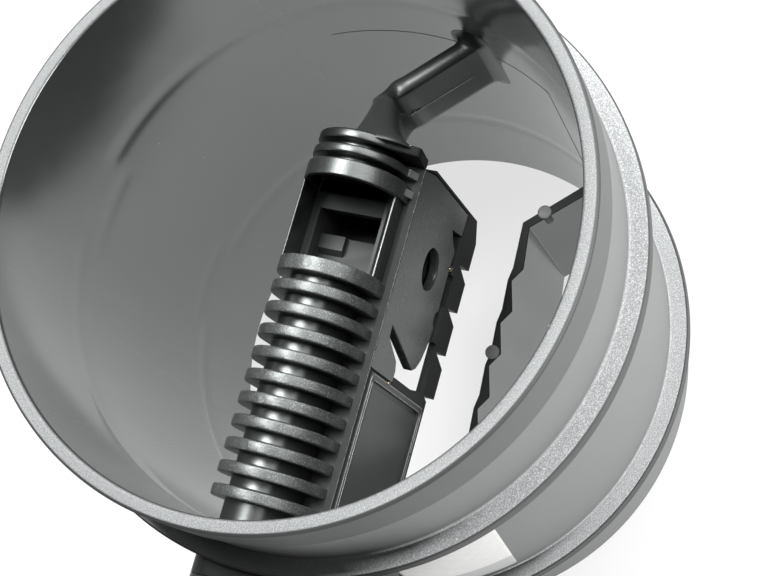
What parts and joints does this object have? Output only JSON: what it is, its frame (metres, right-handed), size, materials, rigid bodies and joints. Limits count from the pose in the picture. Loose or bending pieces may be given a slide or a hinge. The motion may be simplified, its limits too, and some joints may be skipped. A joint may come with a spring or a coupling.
{
  "type": "mass airflow sensor",
  "caption": "Open round flow tube with hose spigots and flanges, a finned sensing blade across it on a strut, a toothed outlet fence, a plug-in sensor and a side connector.",
  "frame": {"origin": "centre of the outlet opening, in the plane of the outlet rim", "axes": "+Z along the tube's axis from the outlet to the inlet, +X along the sensing blade from its flange to its tip, +Y completes the frame"},
  "size_m": [0.1158, 0.0956, 0.0946],
  "materials": {
    "tube_plastic": "satin black glass-filled plastic",
    "sensor_plastic": "satin black glass-filled plastic",
    "cover_plastic": "smooth dark plastic plate",
    "carrier_plastic": "fine moulded plastic",
    "seal_rubber": "soft black rubber",
    "plate_aluminium": "rolled sheet",
    "board_laminate": "green laminate",
    "chip_resin": "moulded resin",
    "chip_silicon": "polished silicon",
    "bead_glass": "glass coated bead",
    "label_paper": "white matt paper",
    "screw_steel": "zinc plated steel",
    "terminal_brass": "tinned brass",
    "capacitor_ceramic": "fired ceramic"
  },
  "bodies": {
    "root": {"flow_tube": "tube_plastic", "sensor_body": "sensor_plastic", "bypass_cover": "cover_plastic", "electronics_cover": "cover_plastic", "sealing_ring": "seal_rubber", "carrier_plate": "plate_aluminium", "circuit_board": "board_laminate", "signal_chip": "chip_resin", "sensor_carrier": "carrier_plastic", "sensor_chip": "chip_silicon", "temperature_bead": "bead_glass", "paper_label": "label_paper", "mounting_screw_1": "screw_steel", "mounting_screw_2": "screw_steel", "terminal_1": "terminal_brass", "terminal_2": "terminal_brass", "terminal_3": "terminal_brass", "terminal_4": "terminal_brass", "terminal_5": "terminal_brass", "capacitor_1": "capacitor_ceramic", "capacitor_2": "capacitor_ceramic", "capacitor_3": "capacitor_ceramic"}
  },
  "joints": []
}
